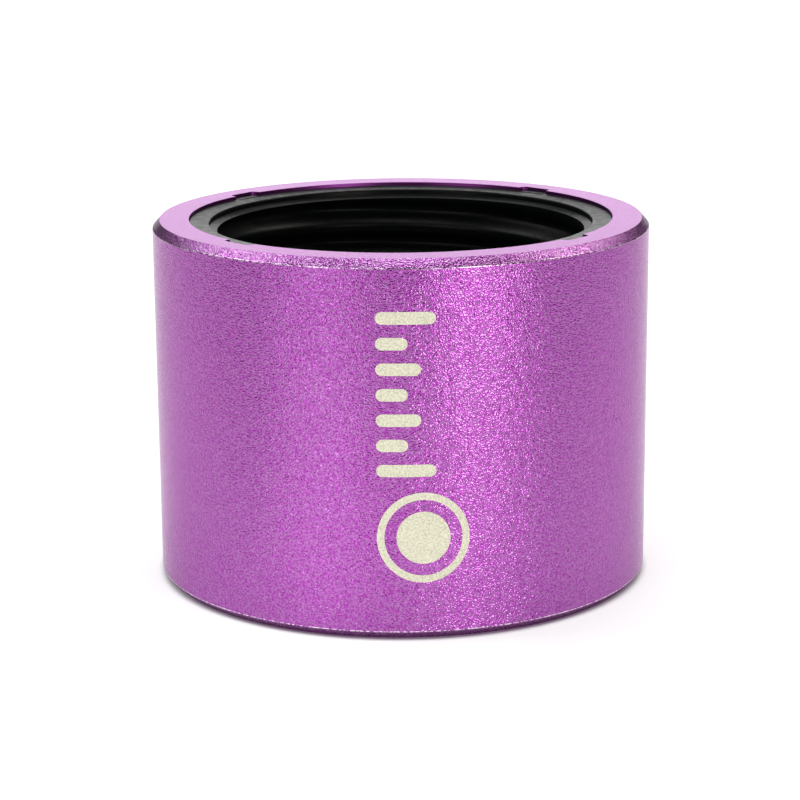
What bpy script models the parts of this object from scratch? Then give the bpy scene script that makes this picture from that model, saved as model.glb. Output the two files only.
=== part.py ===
"""A coupling sleeve that joins two screw-necked glass vessels end to end.

An anodised metal sleeve holds two moulded threaded inserts, one pushed in from each end against a
central rib. Four keys on each insert sit in notches in the sleeve's rim, so that screwing a neck in
can't turn the insert. A silicone ring in each insert seals against the end of the neck.
Metres, +Z up. The sleeve stands on its lower rim, centred on the Z axis.
"""

import math

import bmesh
import bpy

MM = 0.001
FIT_GAP = 0.3 * MM

# Sleeve
OUTER_RADIUS = 28.5 * MM
HEIGHT = 41.6 * MM
EDGE_CHAMFER_RADIAL = 0.83 * MM
EDGE_CHAMFER_AXIAL = 0.92 * MM
BORE_RADIUS = 24.3 * MM
PASSAGE_RADIUS = 17.5 * MM
RIB_THICKNESS = 2.5 * MM

# Threaded inserts
INSERT_OUTER_RADIUS = BORE_RADIUS - FIT_GAP
INSERT_RECESS = 0.36 * MM
MOUTH_RADIUS = 22.0 * MM
RING_FALL = 0.2 * MM
MOUTH_DEPTH = 0.6 * MM
LEAD_IN_DROP = 0.3 * MM
WEB_THICKNESS = 2.0 * MM

# Rounded glass-neck thread, right-handed
THREAD_MINOR_RADIUS = 21.1 * MM
THREAD_DEPTH = 1.4 * MM
THREAD_PITCH = 4.0 * MM
GROOVE_WIDTH = 3.8 * MM
GROOVE_DEPTH_AT_BACK = 3.1 * MM
RUN_IN_LENGTH = 0.5 * MM
RUN_OUT_LENGTH = 1.5 * MM
THREAD_ROW_STEP = 0.5 * MM

# Keys and notches, unevenly spaced so that an insert fits in one position only
KEY_ANGLES = [math.radians(degrees) for degrees in (48, 140, 225, 320)]
KEY_WIDTH = 3.7 * MM
KEY_HEIGHT = 3.0 * MM
KEY_OUTER_RADIUS = 24.95 * MM
KEY_CORNER_RADIUS = 0.6 * MM
KEY_ROOT_OVERLAP = 0.3 * MM
CORNER_STEPS = 3

# Seal rings
SEAL_THICKNESS = 2.0 * MM
SEAL_OUTER_RADIUS = 20.9 * MM
SEAL_INNER_RADIUS = PASSAGE_RADIUS + FIT_GAP
SEAL_EDGE = 0.3 * MM

SLEEVE_SEGMENTS = 96
INSERT_SEGMENTS = 64
SEAL_SEGMENTS = 48
SMOOTH_ANGLE = math.radians(28)

MID_HEIGHT = HEIGHT / 2
INSERT_TOP = HEIGHT - INSERT_RECESS
WEB_BOTTOM = MID_HEIGHT + RIB_THICKNESS / 2 + FIT_GAP
WEB_TOP = WEB_BOTTOM + WEB_THICKNESS
SEAL_BOTTOM = WEB_TOP + FIT_GAP
SEAL_TOP = SEAL_BOTTOM + SEAL_THICKNESS
RING_INNER_HEIGHT = INSERT_TOP - RING_FALL
LEAD_IN_TOP = RING_INNER_HEIGHT - MOUTH_DEPTH
LEAD_IN_BOTTOM = LEAD_IN_TOP - LEAD_IN_DROP


def clear_scene():
    for obj in list(bpy.data.objects):
        bpy.data.objects.remove(obj, do_unlink=True)


def make_material(name, color, roughness, metallic=0.0):
    material = bpy.data.materials.new(name)
    material.use_nodes = True
    shader = material.node_tree.nodes["Principled BSDF"]
    shader.inputs["Base Color"].default_value = (*color, 1.0)
    shader.inputs["Roughness"].default_value = roughness
    shader.inputs["Metallic"].default_value = metallic
    return material


def finish_object(name, bm, material):
    """Turns a closed bmesh into a scene object with outward faces, smooth except at real edges."""
    bmesh.ops.recalc_face_normals(bm, faces=bm.faces)
    mesh = bpy.data.meshes.new(name)
    bm.to_mesh(mesh)
    bm.free()
    obj = bpy.data.objects.new(name, mesh)
    bpy.context.scene.collection.objects.link(obj)
    if material:
        mesh.materials.append(material)
    mesh.shade_smooth()
    mesh.set_sharp_from_angle(angle=SMOOTH_ANGLE)
    return obj


def sweep_section(section, segments):
    """A closed ring whose section may change on the way round: section(angle) lists (radius, height)."""
    bm = bmesh.new()
    rings = []
    for i in range(segments):
        angle = 2 * math.pi * i / segments
        cosine = math.cos(angle)
        sine = math.sin(angle)
        rings.append([bm.verts.new((r * cosine, r * sine, z)) for r, z in section(angle)])
    for ring, following in zip(rings, rings[1:] + rings[:1]):
        count = len(ring)
        for j in range(count):
            k = (j + 1) % count
            bm.faces.new((ring[j], following[j], following[k], ring[k]))
    return bm


def add_tab(bm, angle, width, inner_radius, outer_radius, corner, bottom, top):
    """Adds a block that points outwards at this angle, with its two outer corners rounded."""
    outline = [(inner_radius, -width / 2)]
    for side, start in ((-1, -math.pi / 2), (1, 0.0)):
        for step in range(CORNER_STEPS + 1):
            turn = start + math.pi / 2 * step / CORNER_STEPS
            out = outer_radius - corner + corner * math.cos(turn)
            across = side * (width / 2 - corner) + corner * math.sin(turn)
            outline.append((out, across))
    outline.append((inner_radius, width / 2))
    cosine = math.cos(angle)
    sine = math.sin(angle)
    turned = [(x * cosine - y * sine, x * sine + y * cosine) for x, y in outline]
    low = [bm.verts.new((x, y, bottom)) for x, y in turned]
    high = [bm.verts.new((x, y, top)) for x, y in turned]
    bm.faces.new(low[::-1])
    bm.faces.new(high)
    for j in range(len(turned)):
        k = (j + 1) % len(turned)
        bm.faces.new((low[j], low[k], high[k], high[j]))


def make_tabs(name, clearance, top):
    """The four keys, or with a clearance the shape that cuts the notches they sit in."""
    bm = bmesh.new()
    for angle in KEY_ANGLES:
        add_tab(
            bm,
            angle,
            KEY_WIDTH + 2 * clearance,
            INSERT_OUTER_RADIUS - KEY_ROOT_OVERLAP,
            KEY_OUTER_RADIUS + clearance,
            KEY_CORNER_RADIUS,
            INSERT_TOP - KEY_HEIGHT - clearance,
            top,
        )
    tabs = finish_object(name, bm, None)
    tabs.hide_render = True
    tabs.display_type = "WIRE"
    return tabs


def add_boolean(obj, helper, operation):
    modifier = obj.modifiers.new(helper.name, "BOOLEAN")
    modifier.operation = operation
    modifier.solver = "EXACT"
    modifier.object = helper


def turn_over(obj):
    """Moves an object from the upper end to the same place at the lower end."""
    obj.rotation_euler = (math.pi, 0.0, 0.0)
    obj.location = (0.0, 0.0, HEIGHT)


def make_sleeve(material):
    chamfered = OUTER_RADIUS - EDGE_CHAMFER_RADIAL
    rib_bottom = MID_HEIGHT - RIB_THICKNESS / 2
    rib_top = MID_HEIGHT + RIB_THICKNESS / 2
    profile = [
        (chamfered, HEIGHT),
        (OUTER_RADIUS, HEIGHT - EDGE_CHAMFER_AXIAL),
        (OUTER_RADIUS, EDGE_CHAMFER_AXIAL),
        (chamfered, 0.0),
        (BORE_RADIUS, 0.0),
        (BORE_RADIUS, rib_bottom),
        (PASSAGE_RADIUS, rib_bottom),
        (PASSAGE_RADIUS, rib_top),
        (BORE_RADIUS, rib_top),
        (BORE_RADIUS, HEIGHT),
    ]
    sleeve = finish_object("outer_sleeve", sweep_section(lambda angle: profile, SLEEVE_SEGMENTS), material)
    above_rim = HEIGHT + KEY_HEIGHT
    upper_notches = make_tabs("upper_notch_cutter", FIT_GAP, above_rim)
    lower_notches = make_tabs("lower_notch_cutter", FIT_GAP, above_rim)
    turn_over(lower_notches)
    add_boolean(sleeve, upper_notches, "DIFFERENCE")
    add_boolean(sleeve, lower_notches, "DIFFERENCE")
    return sleeve


def groove_at(angle, z):
    """How deep the thread groove is cut at this place on the insert's inner wall."""
    root_height = HEIGHT - GROOVE_DEPTH_AT_BACK + THREAD_PITCH * (angle / (2 * math.pi) - 0.25)
    turns_away = (z - root_height) / THREAD_PITCH
    from_root = (turns_away - round(turns_away)) * THREAD_PITCH
    across = min(1.0, abs(from_root) / (GROOVE_WIDTH / 2))
    shape = 0.5 + 0.5 * math.cos(math.pi * across)
    run_in = (LEAD_IN_BOTTOM - z) / RUN_IN_LENGTH
    run_out = (z - WEB_TOP) / RUN_OUT_LENGTH - 1.0
    return THREAD_DEPTH * shape * max(0.0, min(1.0, run_in, run_out))


def insert_section(angle):
    row_count = round((LEAD_IN_BOTTOM - WEB_TOP) / THREAD_ROW_STEP)
    points = [
        (MOUTH_RADIUS, RING_INNER_HEIGHT),
        (INSERT_OUTER_RADIUS, INSERT_TOP),
        (INSERT_OUTER_RADIUS, WEB_BOTTOM),
        (PASSAGE_RADIUS, WEB_BOTTOM),
        (PASSAGE_RADIUS, WEB_TOP),
    ]
    for row in range(row_count + 1):
        z = WEB_TOP + (LEAD_IN_BOTTOM - WEB_TOP) * row / row_count
        points.append((THREAD_MINOR_RADIUS + groove_at(angle, z), z))
    points.append((MOUTH_RADIUS, LEAD_IN_TOP))
    return points


def make_insert(name, material):
    """A threaded cup with its web at the sleeve's rib and its four keys in the rim's notches."""
    insert = finish_object(name, sweep_section(insert_section, INSERT_SEGMENTS), material)
    keys = make_tabs(name + "_keys", 0.0, INSERT_TOP)
    keys.parent = insert
    add_boolean(insert, keys, "UNION")
    return insert


def make_seal(name, material):
    profile = [
        (SEAL_INNER_RADIUS + SEAL_EDGE, SEAL_TOP),
        (SEAL_OUTER_RADIUS - SEAL_EDGE, SEAL_TOP),
        (SEAL_OUTER_RADIUS, SEAL_TOP - SEAL_EDGE),
        (SEAL_OUTER_RADIUS, SEAL_BOTTOM),
        (SEAL_INNER_RADIUS, SEAL_BOTTOM),
        (SEAL_INNER_RADIUS, SEAL_TOP - SEAL_EDGE),
    ]
    return finish_object(name, sweep_section(lambda angle: profile, SEAL_SEGMENTS), material)


def main():
    clear_scene()
    anodised = make_material("anodised_purple", (0.36, 0.10, 0.40), 0.42, 0.9)
    plastic = make_material("black_filled_plastic", (0.020, 0.021, 0.022), 0.55)
    silicone = make_material("dark_silicone", (0.055, 0.055, 0.058), 0.65)
    make_sleeve(anodised)
    make_insert("upper_threaded_insert", plastic)
    turn_over(make_insert("lower_threaded_insert", plastic))
    make_seal("upper_seal_ring", silicone)
    turn_over(make_seal("lower_seal_ring", silicone))


main()
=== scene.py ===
"""The looks of the coupling sleeve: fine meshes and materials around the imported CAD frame.

Every CAD node is replaced by a finer mesh of the same shape, with rounded edges, a smooth thread
and procedural materials. A generic laser mark sits on the side that faces the camera.
"""

import math

import bmesh
import bpy
from mathutils import Matrix, Vector


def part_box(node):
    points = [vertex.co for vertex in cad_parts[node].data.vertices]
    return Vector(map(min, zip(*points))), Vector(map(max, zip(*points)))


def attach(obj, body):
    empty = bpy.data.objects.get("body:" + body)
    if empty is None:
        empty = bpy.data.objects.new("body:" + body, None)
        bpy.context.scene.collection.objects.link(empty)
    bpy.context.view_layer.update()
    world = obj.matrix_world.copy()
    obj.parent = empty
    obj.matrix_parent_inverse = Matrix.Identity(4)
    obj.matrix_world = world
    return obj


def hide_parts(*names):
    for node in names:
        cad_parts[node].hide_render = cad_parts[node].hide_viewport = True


MM = 0.001

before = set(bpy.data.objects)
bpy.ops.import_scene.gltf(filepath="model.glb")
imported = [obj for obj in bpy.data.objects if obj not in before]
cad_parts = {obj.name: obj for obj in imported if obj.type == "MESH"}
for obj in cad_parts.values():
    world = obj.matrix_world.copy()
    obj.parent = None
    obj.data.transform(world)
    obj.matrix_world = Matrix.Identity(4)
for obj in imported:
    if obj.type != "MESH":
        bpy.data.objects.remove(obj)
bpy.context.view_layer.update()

# Sizes read from the frame
SLEEVE_LOW, SLEEVE_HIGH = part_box("outer_sleeve")
INSERT_LOW, INSERT_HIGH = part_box("upper_threaded_insert")
SEAL_LOW, SEAL_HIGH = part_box("upper_seal_ring")
RADIUS = SLEEVE_HIGH.x
HEIGHT = SLEEVE_HIGH.z
MID_HEIGHT = HEIGHT / 2
INSERT_RADIUS = INSERT_HIGH.x
INSERT_TOP = INSERT_HIGH.z
WEB_BOTTOM = INSERT_LOW.z

# Sleeve
MARK_PROUD = 0.02 * MM
WALL_RADIUS = RADIUS - MARK_PROUD
CHAMFER_RADIAL = 0.83 * MM
CHAMFER_AXIAL = 0.92 * MM
BORE_RADIUS = INSERT_RADIUS + 0.3 * MM
RIB_THICKNESS = 2.5 * MM
PASSAGE_RADIUS = 17.5 * MM
EDGE_ROUND = 0.12 * MM
RIM_ROUND = 0.20 * MM
CRISP_ROUND = 0.04 * MM

# Insert
WALL_GAP = 0.06 * MM
MOUTH_RADIUS = 22.0 * MM
RING_FALL = 0.2 * MM
MOUTH_DEPTH = 0.6 * MM
LEAD_IN_DROP = 0.3 * MM
RING_INNER_HEIGHT = INSERT_TOP - RING_FALL
LEAD_IN_TOP = RING_INNER_HEIGHT - MOUTH_DEPTH
LEAD_IN_BOTTOM = LEAD_IN_TOP - LEAD_IN_DROP
WEB_TOP = WEB_BOTTOM + 2.0 * MM
MINOR_RADIUS = 21.1 * MM
THREAD_DEPTH = 1.4 * MM
THREAD_PITCH = 4.0 * MM
GROOVE_WIDTH = 3.8 * MM
GROOVE_DEPTH_AT_BACK = 3.1 * MM
RUN_IN_LENGTH = 0.5 * MM
RUN_OUT_LENGTH = 1.5 * MM

# Keys in the rim
KEY_ANGLES = [math.radians(degrees) for degrees in (48, 140, 225, 320)]
KEY_WIDTH = 3.7 * MM
KEY_HEIGHT = 3.0 * MM
KEY_RADIUS = 24.95 * MM
KEY_CORNER = 0.6 * MM
KEY_GAP = 0.24 * MM
KEY_ROOT = 0.3 * MM

SLEEVE_SEGMENTS = 512
INSERT_SEGMENTS = 384
SEAL_SEGMENTS = 256
THREAD_ROW_STEP = 0.1 * MM


# ---------------------------------------------------------------- node helpers


def new_material(name):
    material = bpy.data.materials.new(name)
    material.use_nodes = True
    tree = material.node_tree
    return material, tree, tree.nodes["Principled BSDF"]


def add_node(tree, kind, inputs=None, **settings):
    """Adds a node. Inputs are values or output sockets by name or index; settings are its properties."""
    node = tree.nodes.new(kind)
    for name, value in settings.items():
        setattr(node, name, value)
    for key, value in (inputs or {}).items():
        socket = node.inputs[key]
        if isinstance(value, bpy.types.NodeSocket):
            tree.links.new(value, socket)
        else:
            socket.default_value = value
    return node


def noise(tree, vector, scale, detail=2.0, roughness=0.5):
    inputs = {"Vector": vector, "Scale": scale, "Detail": detail, "Roughness": roughness}
    return add_node(tree, "ShaderNodeTexNoise", inputs).outputs["Fac"]


def remap(tree, value, low, high, to_low, to_high):
    inputs = {"Value": value, "From Min": low, "From Max": high, "To Min": to_low, "To Max": to_high}
    return add_node(tree, "ShaderNodeMapRange", inputs).outputs["Result"]


def blend_colors(tree, factor, first, second):
    node = add_node(tree, "ShaderNodeMix", data_type="RGBA")
    tree.links.new(factor, node.inputs[0])
    for socket, color in ((node.inputs[6], first), (node.inputs[7], second)):
        if isinstance(color, bpy.types.NodeSocket):
            tree.links.new(color, socket)
        else:
            socket.default_value = (*color, 1.0)
    return node.outputs[2]


def bump(tree, height, distance):
    inputs = {"Height": height, "Distance": distance, "Strength": 1.0}
    return add_node(tree, "ShaderNodeBump", inputs).outputs["Normal"]


def object_coordinates(tree):
    return add_node(tree, "ShaderNodeTexCoord").outputs["Object"]


# ---------------------------------------------------------------- materials


GRAIN_DEPTH = 0.060 * MM
ROUGHNESS_SPREAD = 0.025


def blasted_anodised(name, roughness, deep, pale):
    """Bead-blasted purple anodised aluminium: a peened grain, with paler specks at random that also stand in
    for the grain's whiter glints, partly a painted highlight.
    """
    material, tree, shader = new_material(name)
    position = object_coordinates(tree)
    broad = noise(tree, position, 60.0, 3.0)
    grain = noise(tree, position, 6300.0, 0.0)
    # Paler specks: random tone, and partly painted highlight for the grain's glints.
    tone_and_glint_specks = noise(tree, position, 4800.0, 0.0)
    pits = noise(tree, position, 1300.0, 1.0, 0.5)
    mixed = add_node(tree, "ShaderNodeMath", {0: broad, 1: 0.15, 2: tone_and_glint_specks}, operation="MULTIPLY_ADD")
    shade = remap(tree, mixed.outputs[0], 0.375, 0.775, 0.0, 1.0)
    shader.inputs["Metallic"].default_value = 1.0
    shader.inputs["Specular Tint"].default_value = (0.62, 0.38, 0.62, 1.0)
    shader.inputs["Coat Weight"].default_value = 0.60
    shader.inputs["Coat Roughness"].default_value = 0.12
    shader.inputs["Coat IOR"].default_value = 1.65
    tree.links.new(blend_colors(tree, shade, deep, pale), shader.inputs["Base Color"])
    smoothest = roughness - ROUGHNESS_SPREAD
    roughest = roughness + ROUGHNESS_SPREAD
    tree.links.new(remap(tree, pits, 0.3, 0.7, smoothest, roughest), shader.inputs["Roughness"])
    peened = bump(tree, grain, GRAIN_DEPTH)
    tree.links.new(peened, shader.inputs["Normal"])
    tree.links.new(peened, shader.inputs["Coat Normal"])
    return material


def painted_glint_edge():
    """The blasted wall's rounded outer edges, with pale glint specks painted on as a broken line: a painted
    highlight.
    """
    material, tree, shader = new_material("painted_glint_edge_anodised")
    position = object_coordinates(tree)
    glints = noise(tree, position, 3600.0, 1.0)
    shine = remap(tree, glints, 0.42, 0.60, 0.0, 1.0)
    # Painted highlight: the near-white colour stands in for the lamps' glints along the edge.
    color = blend_colors(tree, shine, (0.35, 0.09, 0.37), (0.95, 0.82, 0.95))
    shader.inputs["Metallic"].default_value = 1.0
    tree.links.new(color, shader.inputs["Base Color"])
    tree.links.new(remap(tree, glints, 0.3, 0.7, 0.24, 0.34), shader.inputs["Roughness"])
    tree.links.new(bump(tree, glints, 0.010 * MM), shader.inputs["Normal"])
    return material


def machined_anodised():
    """The rim faces: turned after blasting, so smoother and paler than the wall."""
    material, tree, shader = new_material("machined_purple_anodised")
    position = object_coordinates(tree)
    broad = noise(tree, position, 90.0, 3.0)
    fine = noise(tree, position, 2600.0, 2.0)
    color = blend_colors(tree, broad, (0.265, 0.048, 0.285), (0.305, 0.062, 0.325))
    shader.inputs["Metallic"].default_value = 1.0
    shader.inputs["Specular Tint"].default_value = (0.97, 0.90, 0.97, 1.0)
    tree.links.new(color, shader.inputs["Base Color"])
    tree.links.new(remap(tree, fine, 0.3, 0.7, 0.30, 0.36), shader.inputs["Roughness"])
    tree.links.new(bump(tree, fine, 0.004 * MM), shader.inputs["Normal"])
    return material


def insert_plastic():
    """Black glass-filled moulding: satin, with faint flow marks and a fine mould texture."""
    material, tree, shader = new_material("black_filled_plastic")
    position = object_coordinates(tree)
    flow = noise(tree, position, 900.0, 4.0, 0.65)
    fibres = noise(tree, position, 2400.0, 2.0, 0.6)
    color = blend_colors(tree, flow, (0.0015, 0.0022, 0.0022), (0.0035, 0.0048, 0.0046))
    tree.links.new(color, shader.inputs["Base Color"])
    tree.links.new(remap(tree, flow, 0.3, 0.7, 0.30, 0.46), shader.inputs["Roughness"])
    tree.links.new(bump(tree, fibres, 0.016 * MM), shader.inputs["Normal"])
    shader.inputs["Specular Tint"].default_value = (0.97, 1.0, 0.90, 1.0)
    shader.inputs["IOR"].default_value = 1.20
    return material


def seal_silicone():
    """Dark silicone: matte with a light bloom."""
    material, tree, shader = new_material("dark_silicone")
    position = object_coordinates(tree)
    bloom = noise(tree, position, 260.0, 3.0, 0.6)
    fine = noise(tree, position, 1800.0, 2.0)
    color = blend_colors(tree, bloom, (0.030, 0.031, 0.033), (0.050, 0.051, 0.053))
    tree.links.new(color, shader.inputs["Base Color"])
    tree.links.new(remap(tree, bloom, 0.3, 0.7, 0.55, 0.68), shader.inputs["Roughness"])
    tree.links.new(bump(tree, fine, 0.006 * MM), shader.inputs["Normal"])
    return material


def laser_mark_surface():
    """Where the laser has bleached the dye: dull cream with darker specks in the pits."""
    material, tree, shader = new_material("laser_bleached_anodised")
    position = object_coordinates(tree)
    speckle = noise(tree, position, 5200.0, 1.0, 0.6)
    broad = noise(tree, position, 350.0, 2.0)
    cream = blend_colors(tree, broad, (0.72, 0.71, 0.54), (0.79, 0.78, 0.60))
    shade = remap(tree, speckle, 0.38, 0.68, 0.0, 0.7)
    tree.links.new(blend_colors(tree, shade, cream, (0.46, 0.42, 0.34)), shader.inputs["Base Color"])
    tree.links.new(remap(tree, speckle, 0.3, 0.7, 0.60, 0.75), shader.inputs["Roughness"])
    tree.links.new(bump(tree, speckle, 0.010 * MM), shader.inputs["Normal"])
    return material


FLOOR_GLOW = 0.50
# Painted pool of light on the floor at the front left.
POOL_GLOW = 0.45
POOL_CENTRE = (-24.0 * MM, -60.0 * MM, 0.0)


def floor_surface():
    """A pale sheet with a glow for the studio's spread light.

    The glow is cut off under the sleeve, a painted contact shadow, and is stronger in a pool at the front
    left, a painted pool of light.
    """
    material, tree, shader = new_material("pale_floor")
    position = object_coordinates(tree)
    broad = noise(tree, position, 9.0, 2.0)
    color = blend_colors(tree, broad, (0.64, 0.64, 0.64), (0.66, 0.66, 0.66))
    tree.links.new(color, shader.inputs["Base Color"])
    shader.inputs["Emission Color"].default_value = (1.0, 1.0, 1.0, 1.0)
    from_middle = add_node(tree, "ShaderNodeVectorMath", {0: position}, operation="LENGTH").outputs["Value"]
    # Painted shadow: no glow under the sleeve.
    outside_painted_shadow = remap(tree, from_middle, RADIUS - 0.5 * MM, RADIUS + 0.5 * MM, 0.0, 1.0)
    to_pool = add_node(tree, "ShaderNodeVectorMath", {0: position, 1: POOL_CENTRE}, operation="DISTANCE")
    # Painted pool of light at the front left.
    pool = remap(tree, to_pool.outputs["Value"], 10.0 * MM, 50.0 * MM, POOL_GLOW, 0.0)
    light = add_node(tree, "ShaderNodeMath", {0: pool, 1: FLOOR_GLOW}, operation="ADD").outputs[0]
    glow = add_node(tree, "ShaderNodeMath", {0: light, 1: outside_painted_shadow}, operation="MULTIPLY").outputs[0]
    tree.links.new(glow, shader.inputs["Emission Strength"])
    shader.inputs["Roughness"].default_value = 0.9
    shader.inputs["Specular IOR Level"].default_value = 0.1
    return material


# ---------------------------------------------------------------- mesh helpers


def rounded(profile, steps=4):
    """The closed profile [(radius, height, rounding)] with each corner replaced by an arc."""
    points = []
    count = len(profile)
    for i, (r, z, rounding) in enumerate(profile):
        corner = Vector((r, z))
        if rounding <= 0.0:
            points.append(corner)
            continue
        before = Vector(profile[i - 1][:2]) - corner
        after = Vector(profile[(i + 1) % count][:2]) - corner
        half = before.angle(after) / 2
        reach = rounding / math.tan(half)
        start = corner + before.normalized() * reach
        end = corner + after.normalized() * reach
        centre = corner + (before.normalized() + after.normalized()).normalized() * rounding / math.sin(half)
        first = start - centre
        last = end - centre
        sweep = math.atan2(first.x * last.y - first.y * last.x, first.dot(last))
        for step in range(steps + 1):
            points.append(centre + Matrix.Rotation(sweep * step / steps, 2) @ first)
    return [(p.x, p.y) for p in points]


def sweep_section(section, segments):
    """A closed ring whose section may change on the way round: section(angle) lists (radius, height)."""
    bm = bmesh.new()
    rings = []
    for i in range(segments):
        angle = 2 * math.pi * i / segments
        cosine = math.cos(angle)
        sine = math.sin(angle)
        rings.append([bm.verts.new((r * cosine, r * sine, z)) for r, z in section(angle)])
    for ring, following in zip(rings, rings[1:] + rings[:1]):
        count = len(ring)
        for j in range(count):
            k = (j + 1) % count
            bm.faces.new((ring[j], following[j], following[k], ring[k]))
    bmesh.ops.recalc_face_normals(bm, faces=bm.faces)
    return bm


def to_object(name, bm, materials):
    mesh = bpy.data.meshes.new(name)
    bm.to_mesh(mesh)
    bm.free()
    obj = bpy.data.objects.new(name, mesh)
    bpy.context.scene.collection.objects.link(obj)
    for material in materials:
        mesh.materials.append(material)
    mesh.shade_smooth()
    return obj


def add_tab(bm, angle, width, inner_radius, outer_radius, bottom, top, steps=8):
    """Adds a block that points outwards at this angle, with its two outer corners rounded."""
    outline = [(inner_radius, -width / 2)]
    for side, start in ((-1, -math.pi / 2), (1, 0.0)):
        for step in range(steps + 1):
            turn = start + math.pi / 2 * step / steps
            out = outer_radius - KEY_CORNER + KEY_CORNER * math.cos(turn)
            across = side * (width / 2 - KEY_CORNER) + KEY_CORNER * math.sin(turn)
            outline.append((out, across))
    outline.append((inner_radius, width / 2))
    cosine = math.cos(angle)
    sine = math.sin(angle)
    turned = [(x * cosine - y * sine, x * sine + y * cosine) for x, y in outline]
    low = [bm.verts.new((x, y, bottom)) for x, y in turned]
    high = [bm.verts.new((x, y, top)) for x, y in turned]
    bm.faces.new(low[::-1])
    bm.faces.new(high)
    for j in range(len(turned)):
        k = (j + 1) % len(turned)
        bm.faces.new((low[j], low[k], high[k], high[j]))


def make_tabs(clearance, top):
    """The four keys at the upper end, or with a clearance the shape that cuts their notches."""
    bm = bmesh.new()
    for angle in KEY_ANGLES:
        add_tab(
            bm,
            angle,
            KEY_WIDTH + 2 * clearance,
            INSERT_RADIUS - KEY_ROOT,
            KEY_RADIUS + clearance,
            INSERT_TOP - KEY_HEIGHT - clearance,
            top,
        )
    bmesh.ops.recalc_face_normals(bm, faces=bm.faces)
    return to_object("tabs", bm, [])


def combine(obj, helper, operation):
    """Applies a Boolean with the helper and removes it."""
    modifier = obj.modifiers.new("combine", "BOOLEAN")
    modifier.operation = operation
    modifier.solver = "EXACT"
    modifier.object = helper
    bpy.context.view_layer.update()
    graph = bpy.context.evaluated_depsgraph_get()
    mesh = bpy.data.meshes.new_from_object(obj.evaluated_get(graph))
    obj.modifiers.remove(modifier)
    obj.data = mesh
    bpy.data.objects.remove(helper)


def finish_shading(obj):
    """Smooth curves, sharp real edges, and flat faces kept flat beside their rounded edges."""
    obj.data.set_sharp_from_angle(angle=math.radians(32))
    modifier = obj.modifiers.new("weighted_normals", "WEIGHTED_NORMAL")
    modifier.keep_sharp = True


TURN_OVER = Matrix.Translation((0.0, 0.0, HEIGHT)) @ Matrix.Rotation(math.pi, 4, "X")


def place(piece, slot_name, *nodes):
    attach(piece, "root")
    if nodes:
        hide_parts(*nodes)


# ---------------------------------------------------------------- sleeve


def make_sleeve(wall, machined, edge, chamfer):
    chamfered = WALL_RADIUS - CHAMFER_RADIAL
    rib_bottom = MID_HEIGHT - RIB_THICKNESS / 2
    rib_top = MID_HEIGHT + RIB_THICKNESS / 2
    profile = rounded(
        [
            (chamfered, HEIGHT, CRISP_ROUND),
            (WALL_RADIUS, HEIGHT - CHAMFER_AXIAL, RIM_ROUND),
            (WALL_RADIUS, CHAMFER_AXIAL, RIM_ROUND),
            (chamfered, 0.0, CRISP_ROUND),
            (BORE_RADIUS, 0.0, CRISP_ROUND),
            (BORE_RADIUS, rib_bottom, 0.0),
            (PASSAGE_RADIUS, rib_bottom, EDGE_ROUND),
            (PASSAGE_RADIUS, rib_top, EDGE_ROUND),
            (BORE_RADIUS, rib_top, 0.0),
            (BORE_RADIUS, HEIGHT, CRISP_ROUND),
        ]
    )
    looks = [wall, machined, edge, chamfer]
    sleeve = to_object("sleeve", sweep_section(lambda angle: profile, SLEEVE_SEGMENTS), looks)
    for end in (Matrix.Identity(4), TURN_OVER):
        cutter = make_tabs(KEY_GAP, HEIGHT + KEY_HEIGHT)
        cutter.data.transform(end)
        combine(sleeve, cutter, "DIFFERENCE")
    corner_height = MID_HEIGHT - CHAMFER_AXIAL
    for face in sleeve.data.polygons:
        past_corner = abs(face.center.z - MID_HEIGHT) - corner_height
        if Vector(face.center[:2]).length < chamfered:
            face.material_index = 1
        # Painted highlight: the rounded wall-to-chamfer edges take the pale glint colour.
        elif abs(past_corner) < RIM_ROUND / 2:
            face.material_index = 2
        # Chamfers: the paler copy of the wall finish, a painted sheen.
        elif past_corner > 0.0:
            face.material_index = 3
    finish_shading(sleeve)
    place(sleeve, "anodised_sleeve", "outer_sleeve")


# ---------------------------------------------------------------- inserts


def groove_at(angle, z):
    """How deep the thread groove is cut at this place on the insert's inner wall."""
    root_height = HEIGHT - GROOVE_DEPTH_AT_BACK + THREAD_PITCH * (angle / (2 * math.pi) - 0.25)
    turns_away = (z - root_height) / THREAD_PITCH
    from_root = (turns_away - round(turns_away)) * THREAD_PITCH
    across = min(1.0, abs(from_root) / (GROOVE_WIDTH / 2))
    shape = 0.5 + 0.5 * math.cos(math.pi * across)
    run_in = (LEAD_IN_BOTTOM - z) / RUN_IN_LENGTH
    run_out = (z - WEB_TOP) / RUN_OUT_LENGTH - 1.0
    return THREAD_DEPTH * shape * max(0.0, min(1.0, run_in, run_out))


def insert_section(angle):
    outer = BORE_RADIUS - WALL_GAP
    shell = rounded(
        [
            (MOUTH_RADIUS, LEAD_IN_TOP, 0.05 * MM),
            (MOUTH_RADIUS, RING_INNER_HEIGHT, 0.20 * MM),
            (outer, INSERT_TOP, 0.05 * MM),
            (outer, WEB_BOTTOM, EDGE_ROUND),
            (PASSAGE_RADIUS, WEB_BOTTOM, EDGE_ROUND),
            (PASSAGE_RADIUS, WEB_TOP, EDGE_ROUND),
            (MINOR_RADIUS, WEB_TOP, 0.0),
            (MINOR_RADIUS, LEAD_IN_BOTTOM, 0.0),
        ]
    )
    row_count = round((LEAD_IN_BOTTOM - WEB_TOP) / THREAD_ROW_STEP)
    rows = [WEB_TOP + (LEAD_IN_BOTTOM - WEB_TOP) * row / row_count for row in range(1, row_count + 1)]
    return shell[:-1] + [(MINOR_RADIUS + groove_at(angle, z), z) for z in rows]


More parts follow.
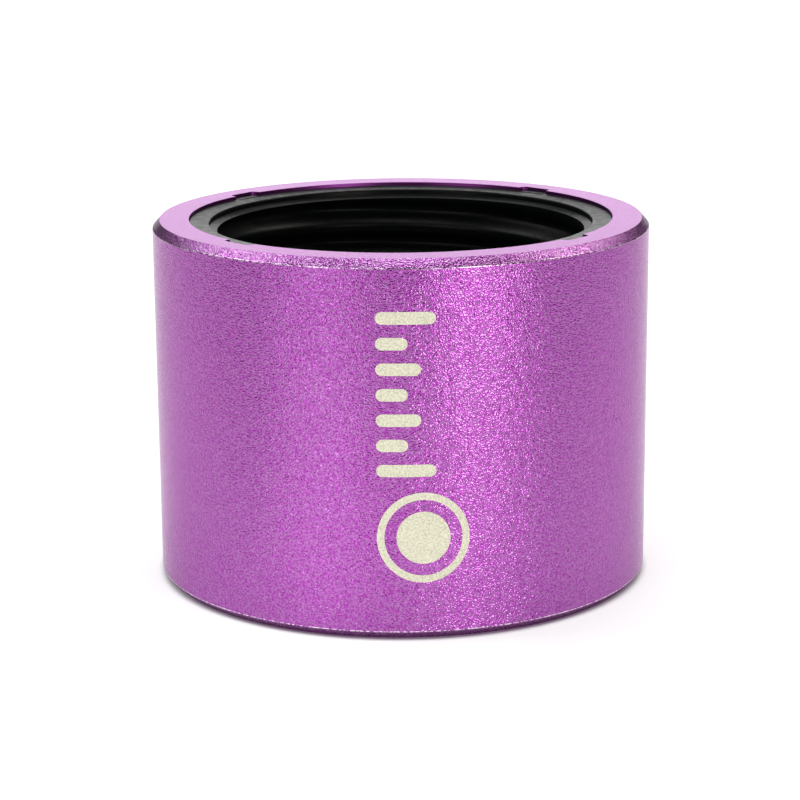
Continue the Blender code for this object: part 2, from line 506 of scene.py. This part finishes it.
def make_insert(name, node, plastic, end):
    insert = to_object(name, sweep_section(insert_section, INSERT_SEGMENTS), [plastic])
    combine(insert, make_tabs(0.0, INSERT_TOP), "UNION")
    insert.data.transform(end)
    finish_shading(insert)
    place(insert, "insert_plastic", node)


# ---------------------------------------------------------------- seals


def make_seal(name, node, silicone, end):
    """A moulded ring with a raised sealing bead in the middle of its top face."""
    outer = SEAL_HIGH.x
    inner = PASSAGE_RADIUS + 0.3 * MM
    middle = (outer + inner) / 2
    low = SEAL_LOW.z
    high = SEAL_HIGH.z
    face = high - 0.25 * MM
    bead = 0.5 * MM
    profile = rounded(
        [
            (outer, low, 0.15 * MM),
            (inner, low, 0.15 * MM),
            (inner, face, 0.3 * MM),
            (middle - bead, face, 0.1 * MM),
            (middle - bead / 2, high, 0.2 * MM),
            (middle + bead / 2, high, 0.2 * MM),
            (middle + bead, face, 0.1 * MM),
            (outer, face, 0.3 * MM),
        ]
    )
    seal = to_object(name, sweep_section(lambda angle: profile, SEAL_SEGMENTS), [silicone])
    seal.data.transform(end)
    finish_shading(seal)
    place(seal, "seal_silicone", node)


# ---------------------------------------------------------------- laser mark


MARK_LEFT = -2.8 * MM
MARK_TOP = HEIGHT - 5.5 * MM
BAR_HEIGHT = 1.35 * MM
BAR_PITCH = 2.75 * MM
BAR_LENGTHS = (6.4 * MM, 3.4 * MM, 4.8 * MM, 3.4 * MM, 4.8 * MM, 3.4 * MM, 6.4 * MM)
RING_RADIUS = 5.0 * MM
RING_STROKE = 0.8 * MM
DOT_RADIUS = 2.9 * MM
RING_CENTRE_HEIGHT = 11.5 * MM
MARK_SINK = 0.03 * MM


def on_wall(along, up, depth):
    """A point on the sleeve's front, this far to the right of its middle, this high and this deep."""
    angle = along / RADIUS - math.pi / 2
    r = RADIUS - depth
    return (r * math.cos(angle), r * math.sin(angle), up)


def add_patch(bm, rows, closed):
    """A thin curved solid: rows of (along, up) points, each row as long as the next."""
    def grid(depth):
        return [[bm.verts.new(on_wall(x, z, depth)) for x, z in row] for row in rows]

    front = grid(0.0)
    back = grid(MARK_SINK)
    count = len(rows)
    width = len(rows[0])
    last = count if closed else count - 1
    for i in range(last):
        j = (i + 1) % count
        for k in range(width - 1):
            bm.faces.new((front[i][k], front[j][k], front[j][k + 1], front[i][k + 1]))
            bm.faces.new((back[i][k + 1], back[j][k + 1], back[j][k], back[i][k]))
        bm.faces.new((front[i][0], back[i][0], back[j][0], front[j][0]))
        bm.faces.new((front[j][-1], back[j][-1], back[i][-1], front[i][-1]))
    if not closed:
        for i in (0, count - 1):
            for k in range(width - 1):
                bm.faces.new((front[i][k], front[i][k + 1], back[i][k + 1], back[i][k]))


def add_bar(bm, left, top, length):
    """A bar with round ends, lying across the mark."""
    half = BAR_HEIGHT / 2
    middle = top - half
    samples = 48
    rows = []
    for i in range(samples + 1):
        along = length * (0.5 - 0.5 * math.cos(math.pi * i / samples))
        inset = max(half - along, along - (length - half), 0.0)
        reach = max(math.sqrt(max(half * half - inset * inset, 0.0)), 0.02 * MM)
        rows.append([(left + along, middle - reach), (left + along, middle + reach)])
    add_patch(bm, rows, False)


def add_band(bm, centre, radii, segments=160):
    """A ring or disc made of concentric circles with these radii."""
    rows = []
    for i in range(segments):
        turn = 2 * math.pi * i / segments
        rows.append([(centre[0] + r * math.cos(turn), centre[1] + r * math.sin(turn)) for r in radii])
    add_patch(bm, rows, True)


def make_mark(surface):
    """A column of scale bars above a dot in a ring: a plain mark that stands for no maker."""
    bm = bmesh.new()
    for i, length in enumerate(BAR_LENGTHS):
        add_bar(bm, MARK_LEFT, MARK_TOP - BAR_PITCH * i, length)
    centre = (MARK_LEFT + RING_RADIUS, RING_CENTRE_HEIGHT)
    add_band(bm, centre, (RING_RADIUS - RING_STROKE, RING_RADIUS - RING_STROKE / 2, RING_RADIUS))
    dot_steps = 8
    add_band(bm, centre, [DOT_RADIUS * max(i, 0.05) / dot_steps for i in range(dot_steps + 1)])
    bmesh.ops.recalc_face_normals(bm, faces=bm.faces)
    mark = to_object("laser_mark", bm, [surface])
    mark.data.set_sharp_from_angle(angle=math.radians(40))
    place(mark, "anodised_sleeve")


# ---------------------------------------------------------------- stage


CAMERA_LENS = 107.26
CAMERA_SENSOR = 36.0
CAMERA_DISTANCE = 9.522 * RADIUS
CAMERA_ABOVE_RIM = 1.598 * RADIUS
CAMERA_PITCH = math.radians(13.98)
CAMERA_ROLL = math.radians(0.41)
CAMERA_SIDE = -0.0079 * RADIUS


def make_camera():
    data = bpy.data.cameras.new("camera")
    data.lens = CAMERA_LENS
    data.sensor_width = CAMERA_SENSOR
    data.clip_start = 0.01
    data.clip_end = 20.0
    camera = bpy.data.objects.new("camera", data)
    bpy.context.scene.collection.objects.link(camera)
    aim = Matrix.Rotation(math.pi / 2 - CAMERA_PITCH, 4, "X") @ Matrix.Rotation(-CAMERA_ROLL, 4, "Z")
    spot = Matrix.Translation((CAMERA_SIDE, -CAMERA_DISTANCE, HEIGHT + CAMERA_ABOVE_RIM))
    camera.matrix_world = spot @ aim
    bpy.context.scene.camera = camera


WHITE = (1.0, 1.0, 1.0)
LIGHT_DISTANCE = 0.9


def add_softbox(name, azimuth, elevation, size, watts, color=WHITE):
    """A soft light aimed at the sleeve. Azimuth 0 is the camera's side, and 90 is the right."""
    data = bpy.data.lights.new(name, "AREA")
    data.shape = "RECTANGLE"
    data.size, data.size_y = size
    data.energy = watts
    data.color = color
    light = bpy.data.objects.new(name, data)
    bpy.context.scene.collection.objects.link(light)
    turn = math.radians(azimuth)
    rise = math.radians(elevation)
    away = Vector((math.sin(turn) * math.cos(rise), -math.cos(turn) * math.cos(rise), math.sin(rise)))
    light.location = Vector((0.0, 0.0, MID_HEIGHT)) + away * LIGHT_DISTANCE
    light.rotation_mode = "QUATERNION"
    light.rotation_quaternion = away.to_track_quat("Z", "Y")


FLOOR_HALF_SIZE = 3.0


def make_floor():
    bm = bmesh.new()
    corners = ((-1, -1), (1, -1), (1, 1), (-1, 1))
    bm.faces.new([bm.verts.new((x * FLOOR_HALF_SIZE, y * FLOOR_HALF_SIZE, 0.0)) for x, y in corners])
    floor = to_object("floor", bm, [floor_surface()])


ROOM_LIGHT = 0.07
BACKDROP_LIGHT = 0.56


def make_world():
    """A dim room that looks pale where the camera sees past the floor."""
    world = bpy.data.worlds.new("studio")
    world.use_nodes = True
    tree = world.node_tree
    background = tree.nodes["Background"]
    background.inputs["Color"].default_value = (*WHITE, 1.0)
    seen = add_node(tree, "ShaderNodeLightPath").outputs["Is Camera Ray"]
    tree.links.new(remap(tree, seen, 0.0, 1.0, ROOM_LIGHT, BACKDROP_LIGHT), background.inputs["Strength"])
    bpy.context.scene.world = world


def make_stage():
    bpy.context.scene.view_settings.view_transform = "Standard"
    make_floor()
    make_world()
    make_camera()
    add_softbox("front_left", -36.0, 5.0, (0.30, 0.30), 1.1)
    add_softbox("front_right", 33.0, 5.0, (0.30, 0.30), 2.8, (1.0, 1.0, 0.95))
    add_softbox("overhead", 180.0, 88.0, (0.50, 0.70), 4.1)
    add_softbox("front_high", -26.0, 32.0, (0.60, 0.12), 1.1)
    add_softbox("behind_high", 180.0, 46.0, (0.60, 0.25), 0.9)
    add_softbox("behind", 180.0, 13.0, (0.50, 0.40), 1.3)
    add_softbox("left_high", -102.0, 45.0, (0.58, 0.36), 2.7)
    add_softbox("right_high", 108.0, 44.0, (0.56, 0.36), 2.4, (1.0, 0.97, 0.92))


# ---------------------------------------------------------------- build


def main():
    wall = blasted_anodised("blasted_wall", 0.205, (0.30, 0.014, 0.32), (0.37, 0.119, 0.395))
    # Chamfers: the wall's blasted finish in paler, whiter colours, a painted sheen like the lit upper
    # chamfer.
    chamfer = blasted_anodised("blasted_chamfer_painted_sheen", 0.31, (0.28, 0.025, 0.30), (0.46, 0.230, 0.48))
    machined = machined_anodised()
    plastic = insert_plastic()
    silicone = seal_silicone()
    make_sleeve(wall, machined, painted_glint_edge(), chamfer)
    upright = Matrix.Identity(4)
    make_insert("upper_insert", "upper_threaded_insert", plastic, upright)
    make_insert("lower_insert", "lower_threaded_insert", plastic, TURN_OVER)
    make_seal("upper_seal", "upper_seal_ring", silicone, upright)
    make_seal("lower_seal", "lower_seal_ring", silicone, TURN_OVER)
    make_mark(laser_mark_surface())
    make_stage()


main()
